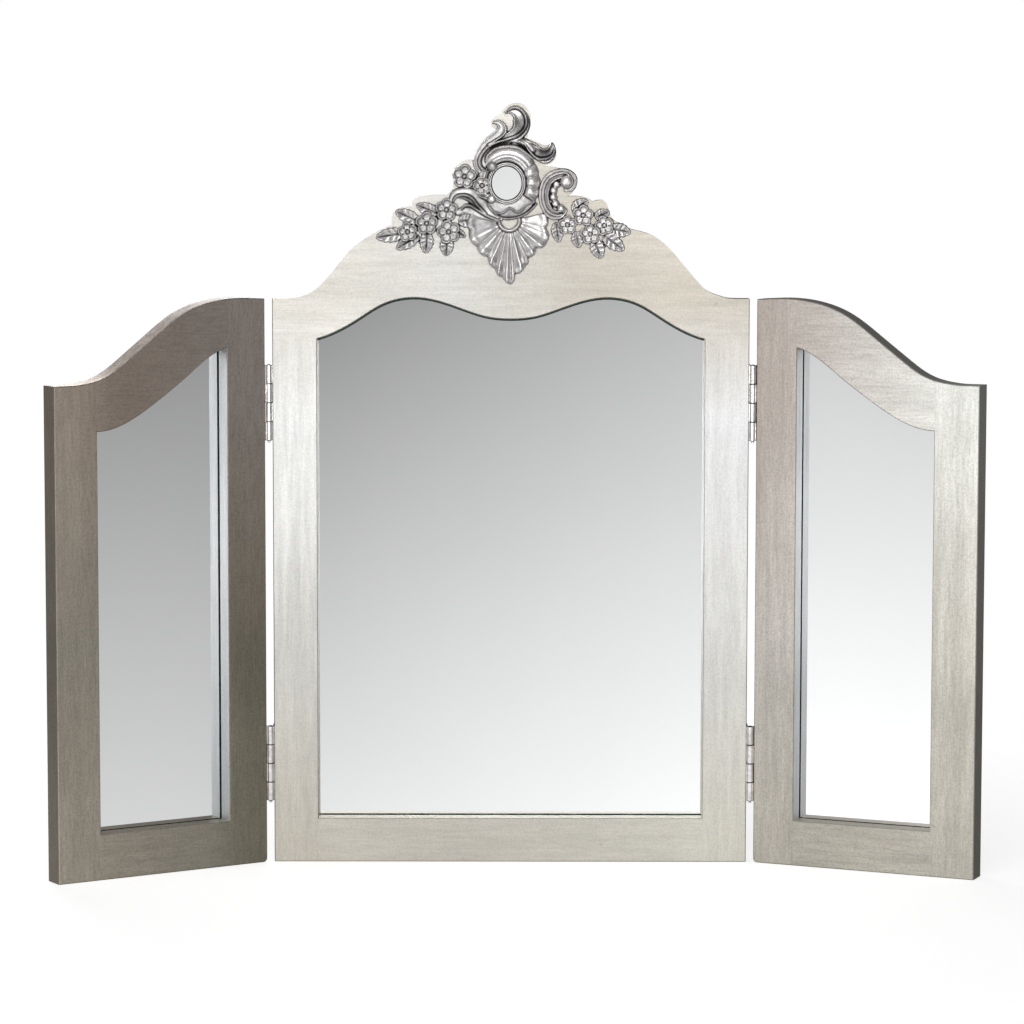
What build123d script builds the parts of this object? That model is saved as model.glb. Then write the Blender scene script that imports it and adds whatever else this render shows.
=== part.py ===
"""Tri-fold dressing-table mirror: a crested centre panel with two hinged wings.

Origin: middle of the centre panel's underside. +Z is up, -Y is the front.
"""
import os
from functools import partial
from math import cos, radians, sin

from build123d import *

os.makedirs("parts", exist_ok=True)

# ---------------------------------------------------------------- driving dimensions, mm
PANEL_THICKNESS = 24.0
EDGE_EASE = 0.8             # eased arris of every frame
CORNER_ROUND = 4.0          # bottom corner of each wing beside the hinge

CENTRE_WIDTH = 470.0
CENTRE_STILE = 44.0
CENTRE_RAIL = 44.0
SHOULDER = 561.5            # height of the centre shoulders
SPRINGING = 522.0           # where the stiles end and the crest board begins
EASED_BELOW = 575.0         # arrises above this, along the shoulders and the crest, stay crisp

WING_WIDTH = 228.0
WING_INNER_STILE = 42.0
WING_OUTER_STILE = 45.0
WING_RAIL = 45.0

GLASS_DEPTH = 17.5          # front face to glass
GLASS_THICKNESS = 3.0
GLASS_REBATE = 6.0          # rebate beyond the clear opening, all round
BACKBOARD_THICKNESS = 3.0
BACKBOARD_REBATE = 14.0
BACKBOARD_DEPTH = GLASS_DEPTH + GLASS_THICKNESS
REBATE_PLAY = 0.8           # play of glass and backboard in their rebates

PANEL_GAP = 7.0             # between the centre panel and an open wing
AXIS_PROUD = 1.0            # hinge axis in front of the panel faces
KNUCKLE_RADIUS = 3.2
PIN_RADIUS = 1.5
PIN_PLAY = 0.05
HINGE_LENGTH = 75.0
KNUCKLES = 4
KNUCKLE_PLAY = 0.3
LEAF_THICKNESS = 1.4
LEAF_REACH = 21.0           # hinge axis to the leaf's back edge
LEAF_START = 3.6            # hinge axis to the leaf's plate, clear of the knuckles
LEAF_SCREW_REACH = 13.0
LEAF_SCREW_MARGIN = 12.0
PIN_BELOW = 2.0
PIN_ABOVE = 0.5
PIN_CHAMFER = 0.3
HINGE_BOTTOMS = {"lower": 62.0, "upper": 421.5}

REST_FOLD = {-1: 31.9, 1: 23.7}     # forward fold of the left and right wing, degrees
SIDES = {"left": -1, "right": 1}

DOWEL_RADIUS = 4.0
DOWEL_LENGTH = 40.0
DOWEL_DEPTH = 9.0           # front face to dowel axis
FIT_PLAY = 0.05             # radial play of dowels and screws in their holes
SCREW_RADIUS = 1.6
SCREW_LENGTH = 16.0
SCREW_HEAD_RADIUS = 3.0
SCREW_HEAD = 1.3
SCREW_POINT = 3.0
BACK_SCREW_RADIUS = 1.3
BACK_SCREW_LENGTH = 11.0
BACK_SCREW_HEAD_RADIUS = 2.9
BACK_SCREW_HEAD = 1.5
BACK_SCREW_INSET = 3.5      # backboard edge to screw axis

FRONT = Plane.XZ.offset(PANEL_THICKNESS / 2)
HALF_CENTRE = CENTRE_WIDTH / 2
HINGE_X = HALF_CENTRE + PANEL_GAP / 2
HINGE_Y = -PANEL_THICKNESS / 2 - AXIS_PROUD

# Half outlines as (distance from the middle or from the hinge edge, height).
SCALLOP = [(191, SPRINGING), (172, 529), (150, 541.5), (125, 556.5), (92, 562.5), (50, 552), (22, 543.3)]
SCALLOP_VALLEY = (0, 541.5)
SHOULDER_CURVE = [(208, 563.5), (195, 568.5), (183.5, 578.7), (171, 593.3), (155, 611.8), (136, 625)]
WING_TOP = [(0, 561.5), (28, 562.7), (60, 559.2), (90, 548.3), (120, 527.4), (150, 504.5),
            (180, 487), (205, 482.6), (WING_WIDTH, 482.4)]
WING_OPENING_TOP = [(WING_INNER_STILE, 514.5), (60, 506.5), (85, 488), (110, 469.8),
                    (140, 450.5), (165, 439.6), (WING_WIDTH - WING_OUTER_STILE, 437.2)]

# Crest silhouette from the left shoulder to the right one, one smooth run after another.
CREST_RUNS = [
    [(-117, 634), (-116.8, 642), (-114, 648), (-107, 651), (-96.4, 652)],
    [(-96.4, 652), (-97, 655.5), (-95, 659), (-86, 662), (-76, 663), (-65, 663)],
    [(-65, 663), (-58.5, 668), (-56.5, 675), (-57.5, 684), (-53, 692.5), (-45, 697), (-37.4, 697)],
    [(-37.4, 697), (-35, 706), (-28.5, 715), (-18, 723), (-15, 727.5)],
    [(-15, 727.5), (-19.5, 731.5), (-19, 736.5), (-13.5, 740.5), (-6, 748.5), (3.5, 753),
     (12.5, 751.2), (17.6, 746), (19.2, 736), (17.2, 725), (16.2, 718)],
    [(16.2, 718), (25, 715.2), (33.5, 712), (39.6, 713.8)],
    [(39.6, 713.8), (43.8, 708), (42.8, 697.8), (37, 693.2), (31, 691)],
    [(31, 691), (40, 690.8), (50, 689.2), (59, 685), (63, 676), (61, 666.5), (52, 661.5)],
    [(52, 661.5), (63, 662.3), (74, 660.5), (80.5, 657)],
    [(80.5, 657), (86, 658.3), (92, 657.2), (95.4, 650.8), (99.2, 641.2), (107.8, 634.6), (118, 630)],
]


# ---------------------------------------------------------------- shared helpers
def finish(piece, node):
    """Label a finished piece and write it as one STEP file."""
    piece.part.label = node
    export_step(piece.part, f"parts/{node}.step")


def wing_face(side):
    """Front plane of a folded wing: origin at its hinge edge, local x along +X, local y up."""
    fold = radians(REST_FOLD[side])
    along = Vector(cos(fold), -side * sin(fold), 0)
    back = Vector(side * sin(fold), cos(fold), 0)
    axis = Vector(side * HINGE_X, HINGE_Y, 0)
    return Plane(origin=axis + back * AXIS_PROUD + along * (side * PANEL_GAP / 2), x_dir=along, z_dir=-back)


def mirrored(points):
    """The same outline points on the other side of the middle."""
    return [(-x, z) for x, z in points]


def centre_profile():
    """Silhouette of the centre panel with its shaped shoulders and crest."""
    with BuildSketch() as profile:
        with BuildLine():
            Polyline((-HALF_CENTRE, SHOULDER), (-HALF_CENTRE, 0), (HALF_CENTRE, 0), (HALF_CENTRE, SHOULDER))
            Spline((-HALF_CENTRE, SHOULDER), *mirrored(SHOULDER_CURVE), CREST_RUNS[0][0],
                   tangents=((1, 0), (1, 0.4)))
            for run in CREST_RUNS:
                Spline(*run)
            Spline(CREST_RUNS[-1][-1], *reversed(SHOULDER_CURVE), (HALF_CENTRE, SHOULDER),
                   tangents=((1, -0.3), (1, 0)))
        make_face()
    return profile.sketch_local


def centre_opening(grow=0.0):
    """Opening of the centre frame under its double scallop, grown on all sides."""
    half = HALF_CENTRE - CENTRE_STILE + grow
    stretch = half / (HALF_CENTRE - CENTRE_STILE)
    scallop = [(x * stretch, z + grow) for x, z in [*SCALLOP, SCALLOP_VALLEY, *reversed(mirrored(SCALLOP))]]
    bottom = CENTRE_RAIL - grow
    with BuildSketch() as opening:
        with BuildLine():
            Polyline(scallop[-1], (-half, bottom), (half, bottom), scallop[0])
            Spline(*scallop)
        make_face()
    return opening.sketch_local


def wing_profile(side):
    """Silhouette of a wing, its top falling in an S from the hinge edge outwards."""
    with BuildSketch() as profile:
        with BuildLine():
            Polyline(WING_TOP[0], (0, 0), (side * WING_WIDTH, 0), (side * WING_WIDTH, WING_TOP[-1][1]))
            Spline(*[(side * s, z) for s, z in WING_TOP], tangents=((side, 0.05), (side, 0)))
        make_face()
        fillet(profile.vertices().sort_by_distance((0, 0, 0))[0], CORNER_ROUND)
    return profile.sketch_local


def wing_opening(side, grow=0.0):
    """Opening of a wing frame under its S-shaped top rail, grown on all sides."""
    inner, outer = WING_OPENING_TOP[0][0], WING_OPENING_TOP[-1][0]
    middle = (inner + outer) / 2
    stretch = 1 + 2 * grow / (outer - inner)
    top = [(side * (middle + (s - middle) * stretch), z + grow) for s, z in WING_OPENING_TOP]
    bottom = WING_RAIL - grow
    with BuildSketch() as opening:
        with BuildLine():
            Polyline(top[0], (top[0][0], bottom), (top[-1][0], bottom), top[-1])
            Spline(*top)
        make_face()
    return opening.sketch_local


def sheet(face, outline, depth, thickness):
    """Flat sheet of an outline, lying at a depth behind the face."""
    with BuildPart() as flat:
        with BuildSketch(face.offset(-depth)):
            add(outline)
        extrude(amount=-thickness)
    return flat


def whole_frame(face, profile, opening):
    """Undivided frame: silhouette less its opening and rebates, with eased arrises."""
    toward_front = Axis(face.origin, face.z_dir)
    glass_rebate = sheet(face, opening(GLASS_REBATE), GLASS_DEPTH, PANEL_THICKNESS)
    board_rebate = sheet(face, opening(BACKBOARD_REBATE), BACKBOARD_DEPTH, PANEL_THICKNESS)
    with BuildPart() as frame:
        with BuildSketch(face):
            add(profile)
            add(opening(), mode=Mode.SUBTRACT)
        extrude(amount=-PANEL_THICKNESS)
        arrises = frame.faces().sort_by(toward_front)[-1].edges()
        chamfer(arrises.filter_by(lambda arris: arris.center().Z < EASED_BELOW), EDGE_EASE)
        add(glass_rebate.part, mode=Mode.SUBTRACT)
        add(board_rebate.part, mode=Mode.SUBTRACT)
    return frame.part


def rods(face, places, radius, length, turn):
    """Round rods centred behind a face, turned from the face's normal by local angles."""
    with BuildPart() as group:
        spots = [face.location * Location((x, z, -DOWEL_DEPTH), turn) for x, z in places]
        with Locations(*spots):
            Cylinder(radius, length)
    return group.part


def member(frame, face, window, holes):
    """One board of a frame: the part inside a window (x0, x1, z0, z1), less its holes."""
    x0, x1, z0, z1 = window
    with BuildPart() as board:
        add(frame)
        with BuildSketch(face):
            with Locations(((x0 + x1) / 2, (z0 + z1) / 2)):
                Rectangle(abs(x1 - x0), z1 - z0)
        extrude(amount=-PANEL_THICKNESS, mode=Mode.INTERSECT)
        for hole in holes:
            add(hole, mode=Mode.SUBTRACT)
    return board


def wood_screw():
    """Countersunk screw, head flush at z = 0 and point down."""
    with BuildPart() as screw:
        with BuildSketch(Plane.XZ):
            with BuildLine():
                Polyline((0, 0), (SCREW_HEAD_RADIUS, 0), (SCREW_RADIUS, -SCREW_HEAD),
                         (SCREW_RADIUS, SCREW_POINT - SCREW_LENGTH), (0, -SCREW_LENGTH), close=True)
            make_face()
        revolve(axis=Axis.Z)
    return screw.part


def pan_screw():
    """Small pan-head screw, underside of the head at z = 0 and point down."""
    with BuildPart() as screw:
        with BuildSketch(Plane.XZ):
            with BuildLine():
                Polyline((BACK_SCREW_HEAD_RADIUS, 0), (BACK_SCREW_RADIUS, 0),
                         (BACK_SCREW_RADIUS, 2 - BACK_SCREW_LENGTH), (0, -BACK_SCREW_LENGTH),
                         (0, BACK_SCREW_HEAD))
                ThreePointArc((0, BACK_SCREW_HEAD), (BACK_SCREW_HEAD_RADIUS * 0.75, BACK_SCREW_HEAD * 0.7),
                              (BACK_SCREW_HEAD_RADIUS, 0))
            make_face()
        revolve(axis=Axis.Z)
    return screw.part


def placed(shape, spots):
    """Copies of a finished shape at each location."""
    with BuildPart() as group:
        with Locations(*spots):
            add(shape)
    return group


def back_screw_spots(face, places):
    """Locations on the back of the backboard, the screw's head facing backwards."""
    depth = BACKBOARD_DEPTH + BACKBOARD_THICKNESS
    return [face.location * Location((x, z, -depth), (180, 0, 0)) for x, z in places]


# ---------------------------------------------------------------- hinges
def leaf_screw_spots(plane, back):
    """Screw locations in a leaf, heads flush with its free face and points into the stile."""
    free_face = PANEL_GAP / 2 - LEAF_THICKNESS
    heights = [LEAF_SCREW_MARGIN, HINGE_LENGTH / 2, HINGE_LENGTH - LEAF_SCREW_MARGIN]
    return [plane.location * Location((free_face, back * LEAF_SCREW_REACH, z), (0, -90, 0)) for z in heights]


def hinge_leaf(plane, back, first):
    """Butt-hinge leaf: plan drawn about the hinge axis, x towards its stile, back = +1 or -1."""
    plate_x = (PANEL_GAP - LEAF_THICKNESS) / 2
    pitch = HINGE_LENGTH / KNUCKLES
    with BuildPart() as leaf:
        with BuildSketch(plane):
            with Locations((plate_x, back * (LEAF_START + LEAF_REACH) / 2)):
                Rectangle(LEAF_THICKNESS, LEAF_REACH - LEAF_START)
        extrude(amount=HINGE_LENGTH)
        for knuckle in range(first, KNUCKLES, 2):
            with BuildSketch(plane.offset(knuckle * pitch + KNUCKLE_PLAY / 2)):
                Circle(KNUCKLE_RADIUS)
                with Locations((plate_x, back * LEAF_START / 2)):
                    Rectangle(LEAF_THICKNESS, LEAF_START)
                Circle(PIN_RADIUS + PIN_PLAY, mode=Mode.SUBTRACT)
            extrude(amount=pitch - KNUCKLE_PLAY)
        with Locations(*leaf_screw_spots(plane, back)):
            CounterSinkHole(SCREW_RADIUS + FIT_PLAY, SCREW_HEAD_RADIUS + FIT_PLAY, LEAF_THICKNESS * 2)
    return leaf


def hinge_pin(side, bottom):
    """Pin through all knuckles of a hinge, its lower end showing."""
    with BuildPart() as pin:
        with BuildSketch(Plane(origin=(side * HINGE_X, HINGE_Y, bottom - PIN_BELOW))):
            Circle(PIN_RADIUS)
        extrude(amount=PIN_BELOW + HINGE_LENGTH + PIN_ABOVE)
        chamfer(pin.edges(), PIN_CHAMFER)
    return pin


def hinge_planes(side, bottom):
    """Planes at a hinge's foot, x towards the centre stile and towards the wing stile."""
    foot = Vector(side * HINGE_X, HINGE_Y, bottom)
    outward = wing_face(side).x_dir * side
    return (Plane(origin=foot, x_dir=(-side, 0, 0), z_dir=(0, 0, 1)),
            Plane(origin=foot, x_dir=outward, z_dir=(0, 0, 1)))


def screw_holes(spots):
    """Holes for leaf screws in the stiles."""
    with BuildPart() as holes:
        with Locations(*spots):
            Cylinder(SCREW_RADIUS + FIT_PLAY, SCREW_LENGTH + 1, align=(Align.CENTER, Align.CENTER, Align.MAX))
    return holes.part


centre_screw_spots = []
wing_screw_spots = {-1: [], 1: []}
for side_name, side in SIDES.items():
    for level, bottom in HINGE_BOTTOMS.items():
        centre_plane, wing_plane = hinge_planes(side, bottom)
        finish(hinge_leaf(centre_plane, -side, 1), f"{side_name}_{level}_hinge_centre_leaf")
        finish(hinge_leaf(wing_plane, side, 0), f"{side_name}_{level}_hinge_wing_leaf")
        finish(hinge_pin(side, bottom), f"{side_name}_{level}_hinge_pin")
        centre_screw_spots += leaf_screw_spots(centre_plane, -side)
        wing_screw_spots[side] += leaf_screw_spots(wing_plane, side)


# ---------------------------------------------------------------- centre panel
def centre_panel():
    """Stiles, bottom rail and crest board of the centre frame, with glass and backboard."""
    frame = whole_frame(FRONT, centre_profile(), centre_opening)
    half_open = HALF_CENTRE - CENTRE_STILE
    rail_dowels = [(s * half_open, z) for s in (-1, 1) for z in (12, 28)]
    post_dowels = [(s * x, SPRINGING) for s in (-1, 1) for x in (205, 222)]
    level, upright = (0, 90, 0), (90, 0, 0)
    holes = [rods(FRONT, rail_dowels, DOWEL_RADIUS, DOWEL_LENGTH + 1, level),
             rods(FRONT, post_dowels, DOWEL_RADIUS, DOWEL_LENGTH + 1, upright),
             screw_holes(centre_screw_spots)]
    inset = BACKBOARD_REBATE - REBATE_PLAY - BACK_SCREW_INSET
    edge_x = half_open + inset
    back_places = [(s * edge_x, z) for s in (-1, 1) for z in (60, 175, 290, 405, 510)]
    back_places += [(x, CENTRE_RAIL - inset) for x in (-130, 0, 130)]
    back_places += [(s * 92, SCALLOP[4][1] + inset) for s in (-1, 1)]
    back_places += [(0, SCALLOP_VALLEY[1] + inset)]
    spots = back_screw_spots(FRONT, back_places)
    with BuildPart() as pilot:
        with Locations(*spots):
            Cylinder(BACK_SCREW_RADIUS + FIT_PLAY, 2 * BACK_SCREW_LENGTH + 1)
    holes.append(pilot.part)
    windows = {
        "centre_left_stile": (-HALF_CENTRE, -half_open, 0, SPRINGING),
        "centre_right_stile": (half_open, HALF_CENTRE, 0, SPRINGING),
        "centre_bottom_rail": (-half_open, half_open, 0, CENTRE_RAIL),
        "crest_board": (-HALF_CENTRE, HALF_CENTRE, SPRINGING, 800),
    }
    for node, window in windows.items():
        finish(member(frame, FRONT, window, holes), node)
    with BuildPart() as dowels:
        add(rods(FRONT, rail_dowels, DOWEL_RADIUS - FIT_PLAY, DOWEL_LENGTH, level))
        add(rods(FRONT, post_dowels, DOWEL_RADIUS - FIT_PLAY, DOWEL_LENGTH, upright))
    finish(dowels, "centre_dowels")
    glass_outline = centre_opening(GLASS_REBATE - REBATE_PLAY)
    finish(sheet(FRONT, glass_outline, GLASS_DEPTH, GLASS_THICKNESS), "centre_mirror")
    board_outline = centre_opening(BACKBOARD_REBATE - REBATE_PLAY)
    backboard = sheet(FRONT, board_outline, BACKBOARD_DEPTH, BACKBOARD_THICKNESS)
    with BuildPart() as drilled:
        add(backboard.part)
        add(pilot.part, mode=Mode.SUBTRACT)
    finish(drilled, "centre_backboard")
    finish(placed(pan_screw(), spots), "centre_back_screws")
    finish(placed(wood_screw(), centre_screw_spots), "centre_hinge_screws")


centre_panel()


# ---------------------------------------------------------------- crest ornament
# Cast mouldings glued to the crest board, drawn on its front face as (x, height).
CARTOUCHE = (-3, 675.5, 31, 35.5)           # centre and radii of the lobed surround
OVAL_MIRROR = (-4.2, 674.8, 15.6, 17.4)     # centre and radii of the small oval glass
OVAL_GLASS_THICKNESS = 2.0
TOP_SCROLL = [(-35.7, 696), (-34, 706.5), (-27, 715), (-17.5, 723), (-14.5, 729), (-18.5, 733.5),
              (-13, 737), (-7, 743), (3, 748), (12.5, 746), (17, 738), (16.5, 727), (14.5, 718.5),
              (27, 710.5), (36, 709.5), (40, 713), (43, 705), (41, 698), (33.5, 695.3), (24.5, 698),
              (15, 705.7), (6, 710.4), (-6, 712.7), (-16.5, 710.4), (-24.3, 704.8), (-26, 697),
              (-22, 690), (-27, 686), (-33, 689)]
TOP_SCROLL_EYE = (-20.5, 689, 6.5)
LOWER_SCROLL = [(-59, 658), (-55, 665), (-46, 668.5), (-35, 664.5), (-26, 657.5), (-22, 649),
                (-14, 641), (-16, 637.5), (-27, 643), (-38, 650), (-46, 646.5), (-52, 651)]
SIDE_SCROLL = [(62, 677), (57, 685.5), (48, 686), (36, 679), (29.5, 668), (29, 655), (33, 643),
               (42, 638), (52, 641), (56.5, 650), (50, 654), (44, 648.5), (38, 652), (36, 662),
               (39, 671), (46, 678), (48, 670), (56, 668.5)]
SHELL = [(-41, 629), (-33.5, 612.5), (-23, 602.7), (-15.5, 591), (1, 576.3), (4, 586), (15, 595),
         (17, 602), (25, 611.5), (34.5, 616.5), (34, 641), (20, 655), (-25, 655), (-38, 644)]
SHELL_EYE = (-1.8, 638.4, 7.9)
# Flowers are (x, height, radius); leaves run from base to tip as (x, height, x, height, half-width).
FLOWER_PAIR = [(-45.8, 681.3, 11), (-28.3, 672.4, 9)]
LEFT_FLOWERS = [(-63.2, 648.7, 11), (-82.7, 635.4, 11), (-101.4, 627, 9.4), (-61.1, 626.9, 11.8)]
LEFT_LEAVES = [(-105, 626, -133, 622.4, 6), (-92, 640, -112.9, 646.8, 5.5), (-72, 647.5, -92.8, 653.2, 5),
               (-96, 622, -112.6, 610.6, 6), (-82, 627, -83.7, 606.4, 7), (-62, 620, -63.6, 604.1, 7),
               (-55, 637, -35.7, 638.5, 5.5)]
RIGHT_FLOWERS = [(70.7, 643.5, 9.7), (55.4, 633.9, 9), (77.9, 624.8, 9.4), (91.6, 633.5, 9.7)]
RIGHT_LEAVES = [(66, 645.5, 76, 658, 6), (87, 638.5, 96, 646.9, 5), (98, 632, 117, 627, 6),
                (91, 627, 110.7, 610.1, 6.5), (81, 620.5, 88.2, 602, 6), (66, 626, 66.4, 612.4, 5.5),
                (50, 632, 47.5, 617.7, 6)]
SURROUND_RELIEF = 7.0
SCROLL_RELIEF = 9.0
SHELL_RELIEF = 6.0
FLOWER_RELIEF = 7.0
LEAF_RELIEF = 4.0
WEB_RELIEF = 2.0            # thin casting that joins the flowers of a spray


def relief(outline, height):
    """Moulding with a smooth closed outline, standing proud of the crest board."""
    with BuildPart() as moulding:
        with BuildSketch(FRONT):
            with BuildLine():
                Spline(*outline, periodic=True)
            make_face()
        extrude(amount=height)
    return moulding.part


def disc(x, z, radius, height):
    """Round boss standing proud of the crest board."""
    with BuildPart() as boss:
        with BuildSketch(FRONT):
            with Locations((x, z)):
                Circle(radius)
        extrude(amount=height)
    return boss.part


def oval(x, z, radius_x, radius_z, height):
    """Oval boss standing proud of the crest board."""
    with BuildPart() as boss:
        with BuildSketch(FRONT):
            with Locations((x, z)):
                Ellipse(radius_x, radius_z)
        extrude(amount=height)
    return boss.part


def flower_spray(flowers, leaves):
    """Five-petalled flowers over pointed leaves, on a thin web."""
    with BuildPart() as spray:
        with BuildSketch(FRONT):
            for x, z, radius in flowers:
                with Locations((x, z)):
                    Circle(radius * 0.7)
            make_hull()
        extrude(amount=WEB_RELIEF)
        with BuildSketch(FRONT):
            for x, z, radius in flowers:
                with Locations((x, z)):
                    Circle(radius * 0.55)
                    with PolarLocations(radius * 0.55, 5, start_angle=90):
                        Circle(radius * 0.45)
        extrude(amount=FLOWER_RELIEF)
        for x0, z0, x1, z1, half_width in leaves:
            base, tip = Vector(x0, z0), Vector(x1, z1)
            across = (tip - base).normalized().rotate(Axis.Z, 90) * half_width
            middle = (base + tip) / 2
            with BuildSketch(FRONT):
                with BuildLine():
                    ThreePointArc(base, middle + across, tip)
                    ThreePointArc(tip, middle - across, base)
                make_face()
            extrude(amount=LEAF_RELIEF)
    return spray.part


def crest_ornament():
    """Mouldings of the crest, each cut back where an earlier one lies."""
    surround = oval(*CARTOUCHE, SURROUND_RELIEF)
    mirror_seat = oval(*OVAL_MIRROR, 2 * SURROUND_RELIEF)
    top_eye = disc(*TOP_SCROLL_EYE, SCROLL_RELIEF)
    shell_eye = disc(*SHELL_EYE, 2 * SHELL_RELIEF)
    mouldings = {
        "crest_top_scroll": ([relief(TOP_SCROLL, SCROLL_RELIEF), top_eye], [mirror_seat]),
        "crest_cartouche": ([surround], [mirror_seat]),
        "crest_lower_scroll": ([relief(LOWER_SCROLL, SCROLL_RELIEF)], [mirror_seat]),
        "crest_side_scroll": ([relief(SIDE_SCROLL, SCROLL_RELIEF)], []),
        "crest_shell": ([relief(SHELL, SHELL_RELIEF)], [mirror_seat, shell_eye]),
        "crest_flower_pair": ([flower_spray(FLOWER_PAIR, [])], [mirror_seat]),
        "left_flower_spray": ([flower_spray(LEFT_FLOWERS, LEFT_LEAVES)], []),
        "right_flower_spray": ([flower_spray(RIGHT_FLOWERS, RIGHT_LEAVES)], []),
    }
    laid = []
    for node, (shapes, cuts) in mouldings.items():
        with BuildPart() as moulding:
            for shape in shapes:
                add(shape)
            for cut in cuts + laid:
                add(cut, mode=Mode.SUBTRACT)
        finish(moulding, node)
        laid += shapes
    with BuildPart() as oval_mirror:
        add(oval(*OVAL_MIRROR, OVAL_GLASS_THICKNESS))
    finish(oval_mirror, "crest_oval_mirror")


crest_ornament()


# ---------------------------------------------------------------- wings
def wing(side_name, side):
    """Frame boards, glass, backboard and fixings of one wing."""
    face = wing_face(side)
    opening = partial(wing_opening, side)
    frame = whole_frame(face, wing_profile(side), opening)
    inner = WING_INNER_STILE
    outer = WING_WIDTH - WING_OUTER_STILE
    joints = [(inner, 13), (inner, 30), (outer, 13), (outer, 30),
              (inner, 528), (inner, 545), (outer, 450), (outer, 470)]
    dowel_places = [(side * s, z) for s, z in joints]
    level = (0, 90, 0)
    inset = BACKBOARD_REBATE - REBATE_PLAY - BACK_SCREW_INSET
    back_places = [(side * (inner - inset), z) for z in (60, 210, 360, 500)]
    back_places += [(side * (outer + inset), z) for z in (60, 180, 300, 425)]
    back_places += [(side * (inner + outer) / 2, WING_RAIL - inset)]
    spots = back_screw_spots(face, back_places)
    with BuildPart() as pilot:
        with Locations(*spots):
            Cylinder(BACK_SCREW_RADIUS + FIT_PLAY, 2 * BACK_SCREW_LENGTH + 1)
    holes = [rods(face, dowel_places, DOWEL_RADIUS, DOWEL_LENGTH + 1, level),
             screw_holes(wing_screw_spots[side]), pilot.part]
    windows = {
        "inner_stile": (0, side * inner, 0, 600),
        "outer_stile": (side * outer, side * WING_WIDTH, 0, 600),
        "bottom_rail": (side * inner, side * outer, 0, WING_RAIL),
        "top_rail": (side * inner, side * outer, 300, 600),
    }
    for board, window in windows.items():
        finish(member(frame, face, window, holes), f"{side_name}_wing_{board}")
    with BuildPart() as dowels:
        add(rods(face, dowel_places, DOWEL_RADIUS - FIT_PLAY, DOWEL_LENGTH, level))
    finish(dowels, f"{side_name}_wing_dowels")
    glass_outline = opening(GLASS_REBATE - REBATE_PLAY)
    finish(sheet(face, glass_outline, GLASS_DEPTH, GLASS_THICKNESS), f"{side_name}_wing_mirror")
    board_outline = opening(BACKBOARD_REBATE - REBATE_PLAY)
    backboard = sheet(face, board_outline, BACKBOARD_DEPTH, BACKBOARD_THICKNESS)
    with BuildPart() as drilled:
        add(backboard.part)
        add(pilot.part, mode=Mode.SUBTRACT)
    finish(drilled, f"{side_name}_wing_backboard")
    finish(placed(pan_screw(), spots), f"{side_name}_wing_back_screws")
    finish(placed(wood_screw(), wing_screw_spots[side]), f"{side_name}_wing_hinge_screws")


for side_name, side in SIDES.items():
    wing(side_name, side)
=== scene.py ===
"""Looks of the tri-fold dressing-table mirror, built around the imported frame.

Sizes of the mouldings are in millimetres on the crest's face: x to the right of the middle,
z above the foot of the panel, and height proud of the crest board.
"""
from math import atan2, cos, degrees, hypot, pi, radians, sin

import bpy
import numpy as np
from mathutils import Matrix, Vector


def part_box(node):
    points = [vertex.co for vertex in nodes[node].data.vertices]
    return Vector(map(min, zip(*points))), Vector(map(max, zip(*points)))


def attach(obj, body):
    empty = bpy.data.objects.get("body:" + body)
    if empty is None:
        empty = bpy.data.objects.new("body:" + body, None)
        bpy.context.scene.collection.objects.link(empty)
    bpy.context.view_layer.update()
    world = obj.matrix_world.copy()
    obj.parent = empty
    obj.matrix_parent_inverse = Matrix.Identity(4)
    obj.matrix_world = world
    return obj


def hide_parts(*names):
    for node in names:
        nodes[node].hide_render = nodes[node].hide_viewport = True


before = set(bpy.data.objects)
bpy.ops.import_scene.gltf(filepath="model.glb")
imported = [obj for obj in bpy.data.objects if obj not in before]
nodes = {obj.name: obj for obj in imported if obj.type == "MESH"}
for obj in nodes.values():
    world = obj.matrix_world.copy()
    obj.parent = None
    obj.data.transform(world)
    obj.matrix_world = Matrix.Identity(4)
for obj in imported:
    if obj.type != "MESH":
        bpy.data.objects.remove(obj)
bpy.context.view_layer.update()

MM = 0.001
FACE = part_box("crest_board")[0].y / MM      # front face of the crest board
SIDES = {"left": -1, "right": 1}
HINGE_KNUCKLES = 4
SEAM_SHADE = 0.75                 # half width of the dark seam between two hinge knuckles, painted shade of the gap between them
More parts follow.
